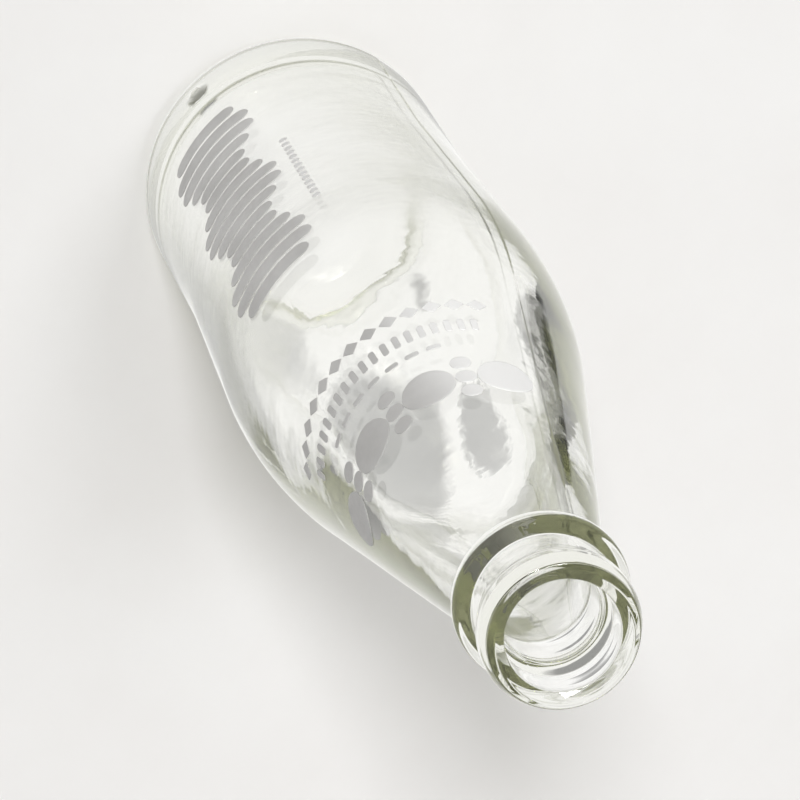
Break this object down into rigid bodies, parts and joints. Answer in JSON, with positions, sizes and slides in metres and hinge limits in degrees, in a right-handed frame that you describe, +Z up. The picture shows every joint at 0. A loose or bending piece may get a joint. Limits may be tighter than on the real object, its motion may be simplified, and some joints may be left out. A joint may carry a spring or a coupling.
{
  "type": "glass soda bottle",
  "caption": "Clear returnable glass soda bottle with a crown-cap finish, long conical shoulder, push-up base and white fired-enamel prints; holds a drink and takes a crown cap.",
  "frame": {"origin": "centre of the bearing ring, on the plane the bottle stands on", "axes": "+Z up along the bottle's axis to its mouth, -Y through the middle of the printed front"},
  "size_m": [0.0606, 0.0606, 0.238],
  "materials": {
    "clear_glass": "smooth moulded glass, faintly green where thick",
    "white_enamel": "satin fired enamel, lightly worn"
  },
  "bodies": {
    "root": {"bottle_glass": "clear_glass", "body_print_bars": "white_enamel", "body_print_dots": "white_enamel", "shoulder_print_diamonds": "white_enamel", "shoulder_print_ticks": "white_enamel", "shoulder_print_dashes": "white_enamel", "cone_print_large_bubbles": "white_enamel", "cone_print_small_bubbles": "white_enamel"}
  },
  "joints": []
}
